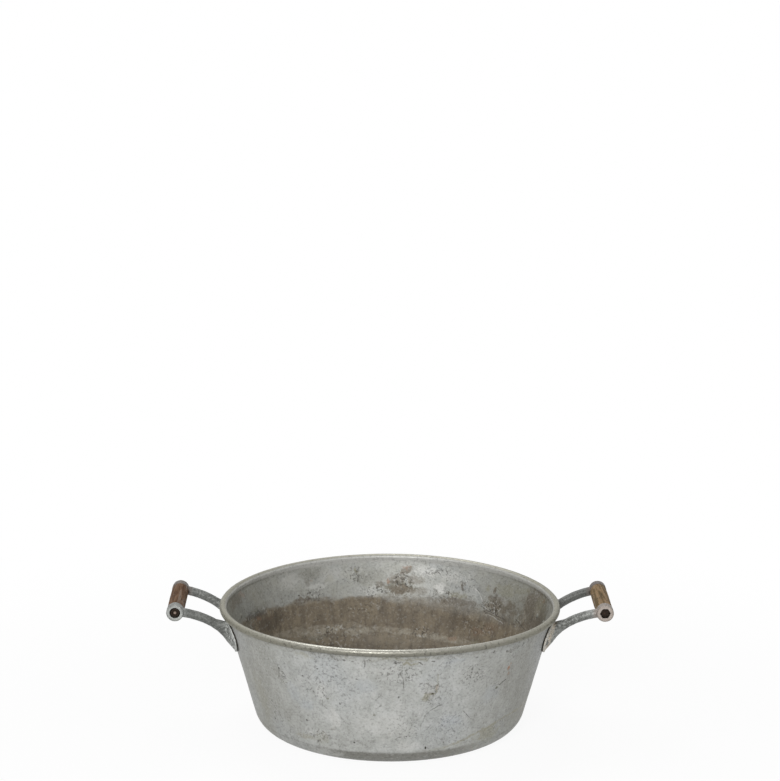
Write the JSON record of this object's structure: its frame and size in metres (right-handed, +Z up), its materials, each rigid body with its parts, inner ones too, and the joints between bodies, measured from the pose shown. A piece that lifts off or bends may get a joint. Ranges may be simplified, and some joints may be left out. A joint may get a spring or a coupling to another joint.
{
  "type": "wash basin with handles",
  "caption": "Round tapered zinc wash basin with a wired rim and a riveted cast handle on each side, each with a turned wooden grip that spins on a tie bolt.",
  "frame": {"origin": "middle of the flat underside, on the surface that the basin stands on", "axes": "+Z up along the basin's round axis; +X from the middle to the right handle; the picture's camera looks along +Y"},
  "size_m": [0.5826, 0.45, 0.1783],
  "materials": {
    "zinc_sheet": "dull mottled grey zinc sheet with scuffs, grime and brown stains inside",
    "wire": "plain drawn wire, hidden in the rim",
    "cast_arm": "rough grey casting, worn bright on the eyes",
    "rivet": "dull hammered heads",
    "grip_wood": "bare weathered brown wood",
    "bolt_steel": "dark rusted steel"
  },
  "bodies": {
    "basin": {"basin_shell": "zinc_sheet", "rim_wire": "wire", "left_front_arm": "cast_arm", "left_rear_arm": "cast_arm", "right_front_arm": "cast_arm", "right_rear_arm": "cast_arm", "left_front_rivets": "rivet", "left_rear_rivets": "rivet", "right_front_rivets": "rivet", "right_rear_rivets": "rivet", "left_tie_bolt": "bolt_steel", "right_tie_bolt": "bolt_steel", "left_tie_nut": "bolt_steel", "right_tie_nut": "bolt_steel"},
    "left_grip": {"left_grip": "grip_wood"},
    "right_grip": {"right_grip": "grip_wood"}
  },
  "joints": [
    {"name": "left_grip_spin", "type": "hinge", "parent": "basin", "child": "left_grip", "pos_m": [-0.28, 0, 0.167], "axis": [0, 1, 0], "continuous": true},
    {"name": "right_grip_spin", "type": "hinge", "parent": "basin", "child": "right_grip", "pos_m": [0.28, 0, 0.167], "axis": [0, 1, 0], "continuous": true}
  ]
}
